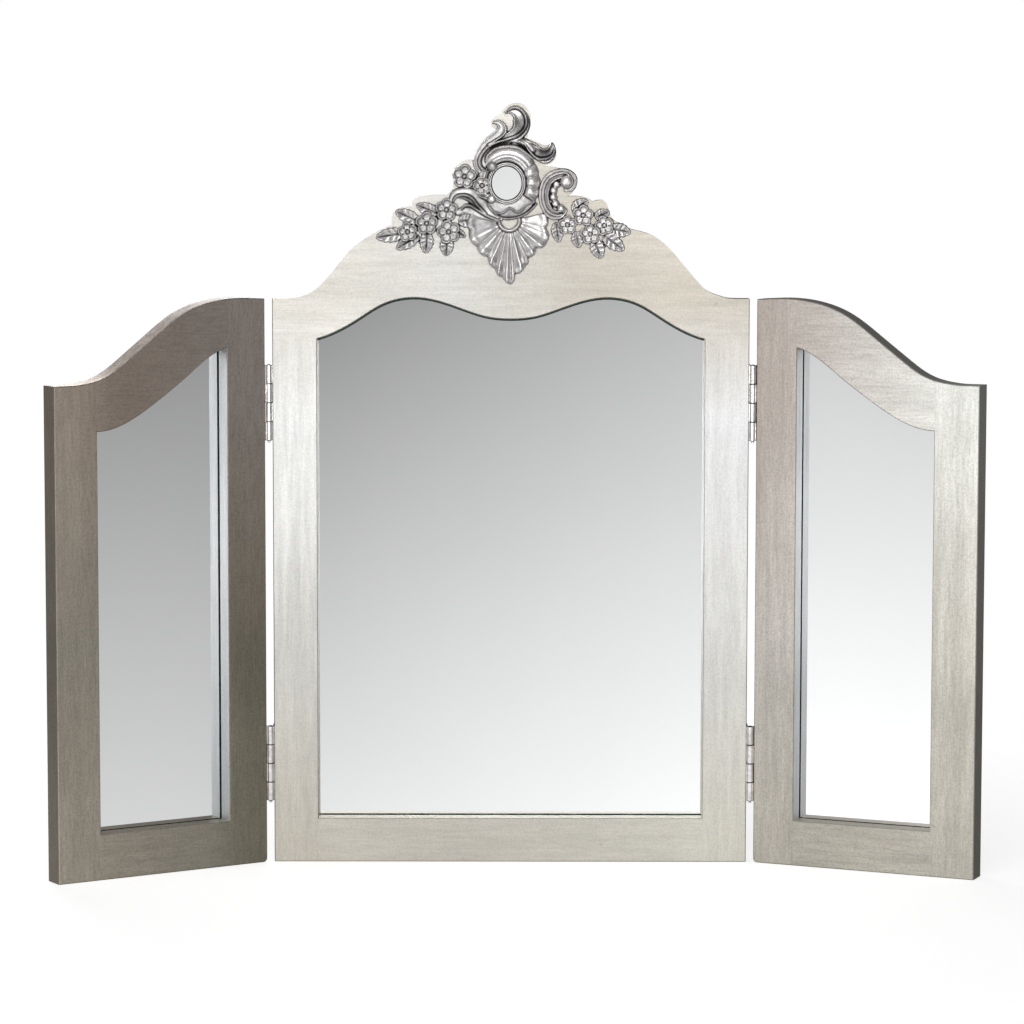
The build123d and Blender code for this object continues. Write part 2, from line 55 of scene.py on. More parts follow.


# ---------------------------------------------------------------- materials
class NodeTree:
    """A node tree, built one node at a time."""

    def __init__(self, tree):
        self.tree = tree

    def node(self, kind, settings=None, **inputs):
        """A node, with its settings, and its inputs given as values or as other nodes' outputs.

        An input is given by its name, or by its number as _0, _1 and so on.
        """
        made = self.tree.nodes.new(kind)
        for key, value in (settings or {}).items():
            setattr(made, key, value)
        for key, value in inputs.items():
            socket = made.inputs[int(key[1:])] if key[1:].isdigit() else made.inputs[key]
            if isinstance(value, bpy.types.NodeSocket):
                self.tree.links.new(value, socket)
            else:
                socket.default_value = value
        return made

    def math(self, operation, *values):
        inputs = {f"_{i}": value for i, value in enumerate(values)}
        return self.node("ShaderNodeMath", {"operation": operation}, **inputs).outputs[0]

    def place(self, scale=(1, 1, 1), turn=0):
        """Object coordinates in metres, turned about Z by some degrees and then stretched."""
        where = self.node("ShaderNodeTexCoord").outputs["Object"]
        turned = self.node("ShaderNodeMapping", Vector=where, Rotation=(0, 0, radians(turn))).outputs[0]
        return self.node("ShaderNodeMapping", Vector=turned, Scale=scale).outputs[0]

    def noise(self, vector, scale, detail=3.0, roughness=0.5):
        return self.node("ShaderNodeTexNoise", Vector=vector, Scale=scale, Detail=detail,
                         Roughness=roughness).outputs[0]

    def ramp(self, value, *stops):
        """Colours along a value, as (position, colour) stops."""
        made = self.node("ShaderNodeValToRGB", Fac=value)
        elements = made.color_ramp.elements
        while len(elements) < len(stops):
            elements.new(1.0)
        for element, (position, colour) in zip(elements, stops):
            element.position = position
            element.color = (*colour, 1) if hasattr(colour, "__len__") else (colour, colour, colour, 1)
        return made.outputs["Color"]

    def mix(self, factor, first, second, blend="MIX"):
        """Two colours mixed; a mix node's colours are its inputs 6 and 7 and its output 2."""
        made = self.node("ShaderNodeMix", {"data_type": "RGBA", "blend_type": blend}, Factor=factor)
        for socket, value in ((made.inputs[6], first), (made.inputs[7], second)):
            if isinstance(value, bpy.types.NodeSocket):
                self.tree.links.new(value, socket)
            else:
                socket.default_value = (*value, 1)
        return made.outputs[2]

    def multiply(self, first, second):
        return self.mix(1.0, first, second, "MULTIPLY")


class Look(NodeTree):
    """A material, with some inputs of its shader given as values."""

    def __init__(self, name, **sockets):
        self.material = bpy.data.materials.new(name)
        self.material.use_nodes = True
        super().__init__(self.material.node_tree)
        self.shader = self.tree.nodes["Principled BSDF"]
        for socket, value in sockets.items():
            self.shader.inputs[socket.replace("_", " ")].default_value = value

    def set(self, socket, value):
        self.tree.links.new(value, self.shader.inputs[socket])

    def bump(self, height, strength, distance):
        made = self.node("ShaderNodeBump", Height=height, Strength=strength, Distance=distance)
        self.set("Normal", made.outputs[0])


def tone_and_light_field(look, rows):
    """Colour that drifts over a panel between a few tones, given as rows of a height and of (x, tone)
    places; the tones hold painted light and shade as well as the paint's own unevenness.
    """
    axes = look.node("ShaderNodeSeparateXYZ", Vector=look.place()).outputs
    across = look.math("ADD", axes["X"], 0.5)
    field, last = None, 0
    for height, *places in rows:
        row = look.ramp(across, *[(x * MM + 0.5, tone) for x, tone in places])
        if field is None:
            field = row
        else:
            field = look.mix(look.ramp(axes["Z"], (last * MM, 0.0), (height * MM, 1.0)), field, row)
        last = height
    return field


def brushed_paint(name, along, tones, turn=0, wear=1.0):
    """Champagne-silver metallic paint brushed along x or z, thin and a little cloudy, over tones that also
    hold painted light and shade.

    turn is the panel's turn about Z in degrees, which a level brush stroke follows.
    """
    hair, stroke = (50, 620, 620), (9, 150, 150)
    if along == "z":
        hair, stroke = (620, 620, 50), (150, 150, 9)
    look = Look(name, Metallic=0.95)
    hairs = look.noise(look.place(hair, turn), 1.0, 4.0, 0.65)
    strokes = look.noise(look.place(stroke, turn), 1.0, 3.0, 0.55)
    clouds = look.noise(look.place(), 8.0, 4.0, 0.6)
    grain = look.noise(look.place(), 520.0, 3.0, 0.7)
    specks = look.noise(look.place((1.0, 1.0, 1.3)), 60.0, 4.0, 0.7)
    # the panel's tones: the paint's unevenness together with painted light and shade
    paint = tone_and_light_field(look, tones)
    for shade in (look.ramp(clouds, (0.34, 1 - 0.13 * wear), (0.66, 1.0)),
                  look.ramp(strokes, (0.3, 1 - 0.10 * wear), (0.7, 1.0)),
                  look.ramp(hairs, (0.32, 1 - 0.17 * wear), (0.62, 1.0)),
                  look.ramp(grain, (0.34, 1 - 0.20 * wear), (0.58, 1.0)),
                  look.ramp(specks, (0.22, (0.74, 0.68, 0.60)), (0.30, (1, 1, 1)))):
        paint = look.multiply(paint, shade)
    look.set("Base Color", paint)
    look.set("Roughness", look.ramp(strokes, (0.3, 0.50), (0.7, 0.42)))
    look.bump(look.math("ADD", hairs, look.math("MULTIPLY", grain, 0.6)), 0.22 * wear, 0.00025)
    return look.material


def cast_silver():
    """Cast ornament rubbed bright on its ridges, with dark pewter patina left in its recesses, and dark at
    its foot, partly patina and partly painted contact shade.
    """
    look = Look("cast_silver", Metallic=1.0)
    patina_and_shade = look.node("ShaderNodeAttribute", {"attribute_name": "patina_and_shade"}).outputs["Fac"]
    patches = look.noise(look.place(), 160.0, 4.0, 0.6)
    pits = look.noise(look.place(), 900.0, 3.0, 0.6)
    # patina, random patches, and painted contact shade at the moulding's foot
    patina_and_shade_share = look.math("ADD", patina_and_shade, look.math("MULTIPLY", look.math("SUBTRACT", patches, 0.5), 0.5))
    silver = look.ramp(patina_and_shade_share, (0.0, (0.86, 0.835, 0.83)), (0.26, (0.63, 0.61, 0.61)),
                       (0.52, (0.22, 0.212, 0.212)), (0.9, (0.035, 0.033, 0.034)))
    look.set("Base Color", silver)
    look.set("Roughness", look.ramp(patina_and_shade_share, (0.1, 0.34), (0.9, 0.55)))
    look.bump(look.math("ADD", pits, look.math("MULTIPLY", patches, 1.5)), 0.3, 0.0003)
    return look.material


def mirror_glass():
    """Silvered glass, with the faintest smears."""
    look = Look("mirror_glass", Metallic=1.0)
    smears = look.noise(look.place((1, 1, 0.6)), 7.0, 4.0, 0.6)
    look.set("Base Color", look.ramp(smears, (0.35, (0.975, 0.985, 0.985)), (0.65, (0.995, 1.0, 1.0))))
    look.set("Roughness", look.ramp(smears, (0.55, 0.0), (0.95, 0.012)))
    return look.material


def glass_edge_and_shade():
    """The dark green line inside a mirror's frame: partly the glass's own dark green edge, partly painted
    shade in the rebate where the glass meets the frame.
    """
    look = Look("glass_edge_and_shade", Metallic=0.3, Roughness=0.25)
    flecks = look.noise(look.place(), 260.0, 3.0, 0.6)
    look.set("Base Color", look.ramp(flecks, (0.35, (0.012, 0.03, 0.024)), (0.7, (0.05, 0.085, 0.07))))
    return look.material


def plated(name, base, rough, grain, joints=None):
    """Plated steel with fine drawn marks and a little tarnish.

    joints is the height of a dark seam, painted shade between two knuckles, and the pitch of the seams
    above it.
    """
    look = Look(name, Metallic=1.0)
    where = look.place()
    drawn = look.noise(look.place((grain, grain, 60)), 1.0, 3.0, 0.6)
    tarnish = look.noise(where, 90.0, 4.0, 0.6)
    dull = tuple(0.72 * c for c in base)
    metal = look.ramp(tarnish, (0.36, dull), (0.6, base))
    if joints:
        bottom, pitch = joints
        height = look.node("ShaderNodeSeparateXYZ", Vector=where).outputs["Z"]
        from_seam = look.math("PINGPONG", look.math("SUBTRACT", height, bottom * MM), pitch / 2 * MM)
        share = look.math("DIVIDE", from_seam, SEAM_SHADE * MM)
        # painted shade in the gap between two knuckles, drawn wider than the gap
        metal = look.multiply(metal, look.ramp(share, (0.5, (0.05, 0.045, 0.04)), (1.0, (1, 1, 1))))
    look.set("Base Color", metal)
    look.set("Roughness", look.ramp(drawn, (0.3, rough), (0.7, rough + 0.1)))
    look.bump(drawn, 0.06, 0.0001)
    return look.material


def hardboard():
    """Brown pressed fibre board."""
    look = Look("hardboard", Metallic=0.0)
    fibres = look.noise(look.place((1, 1, 1.4)), 900.0, 4.0, 0.7)
    stains = look.noise(look.place(), 16.0, 4.0, 0.6)
    board = look.ramp(fibres, (0.3, (0.16, 0.09, 0.045)), (0.7, (0.34, 0.21, 0.12)))
    look.set("Base Color", look.mix(0.5, board, look.ramp(stains, (0.3, 0.7), (0.7, 1.0)), "MULTIPLY"))
    look.set("Roughness", look.ramp(fibres, (0.3, 0.62), (0.7, 0.82)))
    look.bump(fibres, 0.4, 0.0004)
    return look.material


def beech():
    """Pale dowel wood with its grain along the dowel."""
    look = Look("beech", Metallic=0.0)
    grain = look.noise(look.place((40, 700, 700)), 1.0, 4.0, 0.6)
    look.set("Base Color", look.ramp(grain, (0.3, (0.50, 0.33, 0.19)), (0.7, (0.72, 0.54, 0.35))))
    look.set("Roughness", look.ramp(grain, (0.3, 0.5), (0.7, 0.7)))
    return look.material


# ---------------------------------------------------------------- reliefs of the crest
GRID = 0.45                 # spacing of a relief's points
SUNK = 0.4                  # how far a moulding's foot reaches into the board
BACK = 0.9                  # depth of its flat back under the board's face
SOFT = 0.8                  # width over which an edge rounds down
PETALS = 5
LEAF_TEETH = 5.2            # teeth, and side veins, along each edge of a leaf


def smooth_path(knots, spacing=GRID):
    """Closely spaced rows along a smooth curve through (x, z, half width, height) knots."""
    knots = np.array(knots, float)
    last = len(knots) - 1
    rows = []
    for i in range(last):
        p0, p1, p2, p3 = knots[max(i - 1, 0)], knots[i], knots[i + 1], knots[min(i + 2, last)]
        steps = max(2, int(hypot(*(p2 - p1)[:2]) / spacing))
        t = np.linspace(0, 1, steps, endpoint=i == last - 1)[:, None]
        rows.append(0.5 * (2 * p1 + (p2 - p0) * t + (2 * p0 - 5 * p1 + 4 * p2 - p3) * t**2
                           + (3 * p1 - p0 - 3 * p2 + p3) * t**3))
    return np.vstack(rows)


def blurred(field, passes):
    """The field softened by a 1-2-1 filter, so many times in each direction."""
    for _ in range(passes):
        for axis in (0, 1):
            wide = np.pad(field, [(1, 1) if a == axis else (0, 0) for a in (0, 1)], mode="edge")
            low = np.take(wide, range(field.shape[axis]), axis)
            high = np.take(wide, range(2, field.shape[axis] + 2), axis)
            field = (low + 2 * field + high) / 4
    return field


class Relief:
    """Heights over a rectangle of the crest's face; a negative height is outside the moulding."""

    def __init__(self, left, bottom, right, top):
        self.x, self.z = np.meshgrid(np.arange(left, right, GRID), np.arange(bottom, top, GRID))
        self.h = np.full(self.x.shape, -1.0)
        self.patina = np.zeros(self.x.shape)

    def add(self, height):
        """Raise the surface to a height wherever that is higher."""
        self.h = np.maximum(self.h, np.maximum(height, -1.0))

    def cover(self, edge, height):
        """Lay a surface over what is there; edge is 1 inside it and falls below 0 outside."""
        edge = np.clip(edge, -1, 1)
        rounded = np.where(edge > 0, height * np.maximum(edge, 0)**0.5, edge)
        self.h = np.where(edge >= 1, height, np.maximum(self.h, rounded))

    def along(self, knots):
        """Distance to a path and its signed side, with the path's half width and height there."""
        path = smooth_path(knots)
        flat = np.stack([self.x.ravel(), self.z.ravel()], 1)
        gap = (flat[:, :1] - path[:, 0])**2 + (flat[:, 1:] - path[:, 1])**2
        near = gap.argmin(1)
        way = np.gradient(path[:, :2], axis=0)[near]
        offset = flat - path[near, :2]
        side = np.sign(way[:, 0] * offset[:, 1] - way[:, 1] * offset[:, 0])
        distance = np.sqrt(gap[np.arange(len(near)), near])
        shape = self.x.shape
        return (distance.reshape(shape), side.reshape(shape), path[near, 2].reshape(shape),
                path[near, 3].reshape(shape))

    def ridge(self, *knots):
        """A half-round bead along a path."""
        distance, _, width, height = self.along(knots)
        t = distance / width
        bead = np.where(t < 1, height * np.sqrt(np.clip(1 - t * t, 0, 1)), width - distance)
        self.add(bead)

    def groove(self, depth, *knots):
        """A rounded groove along a path, sunk into what is there."""
        distance, _, width, _ = self.along(knots)
        self.h -= np.where(self.h > depth, depth * np.exp(-(distance / width)**2), 0)

    def trough(self, *knots, left=1.0, right=1.0, floor=0.45):
        """A scooped leaf along a path, with a raised lip on each side."""
        distance, side, width, height = self.along(knots)
        t = distance / width
        lip = np.where(side > 0, left, right)
        scoop = floor + (lip - floor) * np.clip(t / 0.82, 0, 1)**2.2
        body = height * scoop * np.sqrt(np.clip((1 - t) / 0.16, 0, 1))
        self.cover(np.where(t < 1, np.clip((1 - t) / 0.1, 0.05, 1), width - distance), body)

    def darken(self, x, z, radius_x, radius_z, amount):
        """Leave more dark patina in a soft oval patch."""
        reach = np.hypot((self.x - x) / radius_x, (self.z - z) / radius_z)
        self.patina += amount * np.clip(2 - 2 * reach, 0, 1)

    def ball(self, x, z, radius, height, side=0.45):
        """A dome standing on a straight side, which is some share of its height."""
        t = np.hypot(self.x - x, self.z - z) / radius
        dome = np.sqrt(np.clip(1 - t * t, 0, 1))
        self.cover((1 - t) * radius / SOFT, height * (side + (1 - side) * dome))

    def flower(self, x, z, radius, turn=0.0, lift=2.6):
        """Five round cupped petals with raised rims about a small boss."""
        dx, dz = self.x - x, self.z - z
        reach = np.hypot(dx, dz)
        sector = 2 * pi / PETALS
        angle = (np.arctan2(dz, dx) - radians(90 + turn) + sector / 2) % sector - sector / 2
        petal_radius = 0.47 * radius
        out, across = reach * np.cos(angle), reach * np.sin(angle)
        t = np.hypot(out - 0.53 * radius, across) / petal_radius
        rim = np.exp(-((t - 0.80) / 0.15)**2)
        seam = np.exp(-(reach * np.sin(sector / 2 - np.abs(angle)) / 0.5)**2)
        seam *= np.clip(reach / radius * 4 - 1, 0, 1)
        creases = 0.22 * np.cos(angle * 34) * np.clip(1 - np.abs(t - 0.45) * 2.4, 0, 1)
        petal = lift + 0.9 + 1.0 * np.clip(t, 0, 1)**2 + 1.4 * rim - 2.0 * seam + creases
        edge = np.maximum((1 - t) * petal_radius, 0.36 * radius - reach)
        self.cover(edge / SOFT, petal)
        self.patina += 0.16 * np.clip(1.6 - 2 * t, 0, 1)
        self.cover((3.3 - reach) / SOFT, np.full(self.x.shape, lift - 1.2))
        boss = reach / 2.1
        self.add(np.where(boss < 1, lift - 0.4 + 2.6 * np.sqrt(np.clip(1 - boss**2, 0, 1)), -1))

    def leaf(self, x0, z0, x1, z1, half_width, lift=2.6):
        """A toothed leaf from its base to its tip, folded up from a sunk midrib."""
        length = hypot(x1 - x0, z1 - z0)
        ux, uz = (x1 - x0) / length, (z1 - z0) / length
        run = ((self.x - x0) * ux + (self.z - z0) * uz) / length
        across = (self.z - z0) * ux - (self.x - x0) * uz
        run_in = np.clip(run, 0.001, 0.999)
        teeth = 1 - 0.17 * (1 - (run_in * LEAF_TEETH) % 1)**1.5
        width = 1.2 * half_width * np.sin(pi * run_in**0.85)**0.62 * teeth
        t = np.abs(across) / np.maximum(width, 0.3)
        vein = (run_in * LEAF_TEETH - 0.5 * t) % 1
        body = lift * (0.75 + 0.65 * np.clip(t, 0, 1.2)) + 0.5 * np.sin(2.4 * pi * run_in)
        body -= 0.75 * np.exp(-((vein - 0.5) / 0.13)**2) * np.clip(3 * t, 0, 1)
        body -= 1.4 * np.exp(-(across / 0.6)**2)
        inside = np.where((run > 0) & (run < 1), width - np.abs(across), -1)
        self.cover(inside / SOFT, body)


def casting(node, relief, look):
    """A closed piece with the relief as its front, standing for one CAD moulding."""
    h = blurred(relief.h, 1)
    # grid squares that touch the moulding, and the points they need
    shown = h > 0
    cell = shown[:-1, :-1] | shown[:-1, 1:] | shown[1:, 1:] | shown[1:, :-1]
    used = np.zeros(h.shape, bool)
    for rows in (slice(0, -1), slice(1, None)):
        for columns in (slice(0, -1), slice(1, None)):
            used[rows, columns] |= cell
    index = np.full(h.shape, -1)
    count = used.sum()
    index[used] = np.arange(count)
    # points just outside are drawn in to the moulding's edge
    rise_z, rise_x = np.gradient(h)
    steep = np.maximum(np.hypot(rise_x, rise_z), 1e-6)
    step_in = np.where(shown, 0, np.clip(-relief.h, 0, 1) * SOFT / steep)
    across, up = relief.x + rise_x * step_in, relief.z + rise_z * step_in
    flat = np.stack([across[used], np.zeros(count), up[used]], 1)
    front, back = flat.copy(), flat.copy()
    front[:, 1] = FACE - np.maximum(h[used], -SUNK)
    back[:, 1] = FACE + BACK
    corners = np.stack([index[:-1, :-1], index[:-1, 1:], index[1:, 1:], index[1:, :-1]], -1)
    faces = corners[cell]
    # a wall stands under each square's side that has no neighbour
    walls = []
    around = np.pad(cell, 1)
    rows, columns = cell.shape
    for first, second, di, dj in ((0, 1, -1, 0), (1, 2, 0, 1), (2, 3, 1, 0), (3, 0, 0, -1)):
        beyond = around[1 + di:1 + di + rows, 1 + dj:1 + dj + columns]
        edge = corners[cell & ~beyond]
        p, q = edge[:, first], edge[:, second]
        walls.append(np.stack([q, p, p + count, q + count], 1))
    every = np.vstack([faces, faces[:, ::-1] + count, *walls])
    mesh = bpy.data.meshes.new(node + "_casting")
    mesh.from_pydata((np.vstack([front, back]) * MM).tolist(), [], every.tolist())
    mesh.polygons.foreach_set("use_smooth", np.arange(len(every)) < len(faces))
    # patina lies where the surface dips below its surroundings, wide or close; the foot, where the
    # moulding meets the board, is darkened both as patina and as painted contact shade
    deep = (blurred(h, 9) - h) / 1.5 + 0.35 * (blurred(h, 2) - h)
    # painted contact shade, with patina, low on the moulding next to the board
    foot = np.clip(1.3 - h, 0, 1)
    patina_and_shade = np.clip(0.18 + np.maximum(deep, 0.9 * foot) + blurred(relief.patina, 6), 0, 1)[used]
    attribute = mesh.attributes.new("patina_and_shade", "FLOAT", "POINT")
    attribute.data.foreach_set("value", np.tile(patina_and_shade, 2).astype(np.float32))
    mesh.materials.append(look)
    return join_frame(mesh, "centre_panel", "cast_ornament", node)


def join_frame(mesh, body, slot, *replaced):
    """Put a new mesh in the scene, riding on a CAD body in place of CAD nodes."""
    piece = bpy.data.objects.new(mesh.name, mesh)
    bpy.context.scene.collection.objects.link(piece)
    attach(piece, body)
    if replaced:
        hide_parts(*replaced)
    return piece


def top_scroll():
    """Two curled leaves on a long stem that ends in a volute, and a horn to the right."""
    relief = Relief(-39, 680, 46, 755)
    # the horn
    relief.trough((10.7, 713.6, 3, 4), (18.6, 709.7, 4.4, 5), (26.5, 703.4, 6, 6), (33.5, 701, 7.2, 6.6),
                  (38.6, 704.5, 5.6, 7), (40.3, 710.4, 3, 7), (40.1, 713.2, 1.4, 6.4), floor=0.5,
                  left=0.9, right=0.75)
    relief.ridge((7.2, 716.4, 1.1, 7), (13.7, 712.5, 1.2, 7.4), (17.5, 706.6, 1.3, 7.6),
                 (22.8, 701, 1.5, 8), (28.2, 698.4, 1.7, 8.2), (34.7, 699.1, 1.6, 8.2),
                 (40.3, 702, 1.3, 7.8), (42.4, 706.6, 1, 7))
    relief.ridge((15.1, 716.7, 1, 5.6), (23.9, 712.9, 1.1, 6.2), (29.5, 708.3, 1.2, 6.6),
                 (34.4, 707.8, 1.2, 7), (37.9, 710.8, 1.1, 7), (39.6, 713, 0.8, 6.6))
    relief.ridge((2.8, 714.6, 3.4, 5.6), (10.7, 715, 4.4, 6), (16.8, 712.2, 4.6, 6),
                 (21.2, 707.4, 4, 5.6))
    # the small leaf, and the outer side of the stem below it
    relief.trough((-17.8, 733.8, 1, 6.5), (-12.6, 733.8, 2.8, 7.6), (-9.6, 730.5, 4.6, 8),
                  (-10.1, 725.1, 5.4, 8), (-15, 719.8, 5.2, 7.6), (-22, 714.6, 5, 7.4),
                  (-28, 708.3, 4.8, 7.2), (-31.9, 700.6, 4.6, 7), (-32.9, 693.5, 4.4, 7),
                  (-30.4, 687.7, 3.4, 6.6), floor=0.72, left=1.0, right=0.9)
    # the big leaf, running into the inner side of the stem
    relief.trough((-5.6, 743.8, 1.2, 7), (0.2, 745.3, 3.2, 8), (6.3, 742.5, 6.2, 8.6),
                  (9.3, 737.7, 8.4, 8.8), (10.2, 731.4, 8.6, 8.8), (7, 724.7, 7.8, 8.6),
                  (0, 719.7, 6.4, 8.4), (-8.6, 715.7, 5.2, 8.2), (-17.3, 711.5, 4.6, 8),
                  (-24.5, 705.2, 4.2, 7.8), (-27.6, 696.8, 3.6, 7.4), (-26.2, 690.2, 2.8, 7), floor=0.6,
                  left=0.62, right=0.8)
    relief.ridge((-5.9, 743.6, 1, 8), (-1, 747.3, 1.5, 9.2), (4.9, 748.7, 1.8, 9.8),
                 (10.7, 745.7, 1.9, 9.9), (14.2, 739.8, 1.9, 9.9), (14.7, 731.9, 1.9, 9.8),
                 (11.2, 725.4, 1.8, 9.7), (4.6, 720.4, 1.7, 9.6), (-4.2, 717.4, 1.6, 9.4),
                 (-12.9, 715, 1.6, 9.3), (-21.3, 710.8, 1.7, 9.2), (-27.3, 704.8, 1.8, 9.1),
                 (-30.8, 697.5, 1.9, 9), (-30.1, 691.6, 1.8, 8.8), (-26.6, 687.7, 1.7, 8.4),
                 (-21.7, 685.8, 1.4, 7.6))
    relief.ridge((-4.5, 730, 1, 7.4), (-5.2, 724.7, 1.3, 8.4), (-9.4, 720.2, 1.4, 8.6),
                 (-16.1, 716, 1.4, 8.6), (-22.4, 712.2, 1.2, 8.4))
    # the arch over the surround
    relief.ridge((-24.7, 695.4, 1.1, 7.4), (-23.1, 702.4, 1.5, 8), (-17.1, 707.8, 1.7, 8.4),
                 (-9.1, 710.4, 1.8, 8.6), (0.4, 710.9, 1.8, 8.6), (8.4, 708.8, 1.7, 8.4),
                 (15.4, 703.8, 1.6, 8), (21.1, 699.2, 1.3, 7.4))
    relief.groove(2.0, (-22.4, 704.5, 0.9, 0), (-14.7, 711.5, 1, 0), (-4.2, 713.9, 1, 0),
                  (6.3, 713.2, 1, 0), (14.2, 708.3, 0.8, 0))
    relief.ball(-18.5, 691, 5.6, 10.4, side=0.68)
    relief.darken(9, 730.1, 9, 15, 0.3)
    relief.darken(32.6, 703.4, 12, 8, 0.32)
    relief.darken(-19, 690, 8, 8, 0.25)
    return relief


GLASS = (-4.2, 674.8, 15.6, 17.4)       # centre and radii of the oval glass
SURROUND = (-3, 675.4, 31.5, 35.8)      # centre and radii of the oval round it
LOBE_ENDS = (-30, -8.8, 13.5, 35.5)     # degrees from the glass's centre, right of the glass
CRESCENT = (-150, -34)                  # degrees that the embossed crescent spans below the glass
FLOWERS_FROM = 138                      # degrees beyond which the surround lies under the flowers
# section of the double bead: out from the glass, height, and how dark it is there: patina in the groove,
# and patina with painted contact shade at the feet by the glass and the board
BEZEL = [(-0.5, 1.6, 1), (-0.5, 4.6, 0.9), (-0.1, 5.8, 0.3), (0.5, 6.3, 0), (1.0, 5.9, 0.3),
         (1.3, 5.2, 0.95), (1.6, 5.8, 0.3), (2.1, 6.2, 0), (2.6, 5.8, 0.3), (2.9, 4.8, 0.9),
         (2.9, 2.0, 1)]


def bezel(look):
    """Double bead round the oval glass."""
    x0, z0, radius_x, radius_z = GLASS
    sides = 144
    rows = len(BEZEL)
    points = [((x0 + (radius_x + out) * cos(2 * pi * i / sides)) * MM, (FACE - height) * MM,
               (z0 + (radius_z + out) * sin(2 * pi * i / sides)) * MM)
              for i in range(sides) for out, height, _ in BEZEL]
    faces = []
    for i in range(sides):
        here, following = i * rows, (i + 1) % sides * rows
        for j in range(rows):
            k = (j + 1) % rows
            faces.append((here + j, following + j, following + k, here + k))
    mesh = bpy.data.meshes.new("oval_bezel")
    mesh.from_pydata(points, [], faces)
    mesh.polygons.foreach_set("use_smooth", [True] * len(faces))
    attribute = mesh.attributes.new("patina_and_shade", "FLOAT", "POINT")
    attribute.data.foreach_set("value", [patina_and_shade for _ in range(sides) for _, _, patina_and_shade in BEZEL])
    mesh.materials.append(look)
    join_frame(mesh, "centre_panel", "cast_ornament")


def cartouche():
    """Lobed surround: a rim round the oval glass, a rounded band, lobes and an embossed crescent."""
    relief = Relief(-36, 638, 30, 713)
    glass_x, glass_z, glass_rx, glass_rz = GLASS
    rim = BEZEL[-1][0]
    dx, dz = relief.x - glass_x, relief.z - glass_z
    angle = np.degrees(np.arctan2(dz, dx))
    lobes = (angle > LOBE_ENDS[0]) & (angle < LOBE_ENDS[-1])
    phase = np.interp(angle, LOBE_ENDS, range(len(LOBE_ENDS))) % 1
    swell = np.where(lobes, np.sin(pi * phase)**0.45, 0.7)
    x0, z0, radius_x, radius_z = SURROUND
    outer = np.hypot((relief.x - x0) / radius_x, (relief.z - z0) / radius_z) - 0.05 * (swell - 0.7)
    inner = np.hypot(dx / (glass_rx + rim), dz / (glass_rz + rim))
    t = np.clip((inner - 1) / (inner - 1 + np.maximum(1 - outer, 1e-3)), 0, 1)
    band = 2.6 + 4.0 * np.sin(pi * t)**0.7
    band += np.where(lobes, 2.2 * swell - 1.3, 0.5 * np.sin(3 * pi * t)**2)
    under_flowers = 1 / (1 + np.exp((FLOWERS_FROM - np.abs(angle)) / 6))
    band -= 3.6 * under_flowers
    crescent = (angle > CRESCENT[0]) & (angle < CRESCENT[1])
    band = np.where(crescent, 3.6 + 0.8 * np.sin(pi * t), band)
    edge = np.minimum((1 - outer) * 33, (inner - 1) * 19 + 1.2) / SOFT
    relief.cover(edge, band)
    relief.patina = np.where(crescent, 0.2, np.where(lobes, -0.2, 0.0))
    relief.ridge((-22.4, 654.2, 1.0, 5.0), (-17.8, 647.9, 1.2, 5.3), (-12.1, 645.3, 1.2, 5.3),
                 (-6.6, 646.6, 1.2, 5.3), (-3.4, 649.6, 1.2, 5.3), (-0.8, 650.6, 1.2, 5.3),
                 (1.8, 648.9, 1.2, 5.3), (5.1, 646.6, 1.2, 5.3), (9.7, 647.8, 1.2, 5.3),
                 (13.2, 652.2, 1.2, 5.3), (16.8, 654.4, 1.1, 5.2), (23.2, 655.9, 1.0, 5.0))
    relief.ridge((-24.7, 655.6, 1.2, 5.6), (-21, 648.8, 1.3, 6), (-14.7, 643.2, 1.4, 6.2),
                 (-6.6, 640.4, 1.4, 6.4), (3, 640.7, 1.4, 6.4), (11.8, 643.4, 1.4, 6.2),
                 (18.8, 648.1, 1.3, 6), (24.9, 654.5, 1.2, 5.6))
    return relief


def lower_scroll():
    """Scroll under the flowers that sweeps in below the oval glass."""
    relief = Relief(-64, 634, -8, 673)
    relief.trough((-58.8, 658, 2.6, 4.6), (-55, 663.8, 4.6, 5.6), (-47.6, 665, 6, 6.4),
                  (-38.9, 662.9, 7.4, 7), (-31.5, 657.3, 7.6, 7), (-24.5, 650.3, 6.4, 6.6),
                  (-16.8, 643.7, 4.4, 6.2), (-9.4, 639.9, 2, 5.6), floor=0.78, left=0.6, right=0.9)
    relief.trough((-51.8, 645.4, 3, 4), (-45.3, 648.6, 4.6, 4.6), (-37.5, 647.2, 5.6, 5),
                  (-29.6, 643.4, 4.8, 5), (-20.8, 639.9, 3, 4.8), (-12.1, 637.9, 1.6, 4.6), floor=0.8,
                  left=0.9, right=0.55)
    relief.ridge((-56.6, 657, 1.2, 6.4), (-54.3, 661.2, 1.5, 7.6), (-49.4, 663.1, 1.7, 8.2),
                 (-42.7, 662.6, 1.8, 8.4), (-37.3, 659.1, 1.8, 8.4), (-33.4, 654, 1.8, 8.2),
                 (-28.9, 649.3, 1.7, 8), (-24.5, 645.1, 1.4, 7.4))
    relief.ridge((-48.1, 649.3, 1.2, 6), (-46.4, 652.1, 1.5, 7.2), (-42.4, 653.3, 1.8, 7.8),
                 (-37.1, 651.6, 1.9, 8), (-31.5, 647.9, 1.9, 8), (-24.8, 643.7, 1.8, 7.8),
                 (-17.8, 640.6, 1.6, 7.4), (-11.5, 638.3, 1.2, 6.6))
    relief.groove(1.6, (-52.3, 659.1, 1.3, 0), (-44.5, 659.1, 1.5, 0), (-38.9, 655.2, 1.5, 0),
                  (-33.1, 649.3, 1.3, 0))
    relief.ridge((-33.1, 662.9, 1.6, 6), (-26.9, 660.8, 2.2, 6.8), (-22.6, 659.1, 2.2, 7.2))
    relief.ball(-18.9, 659.2, 4.8, 10, side=0.7)
    relief.darken(-34, 657.7, 16, 14, 0.22)
    return relief


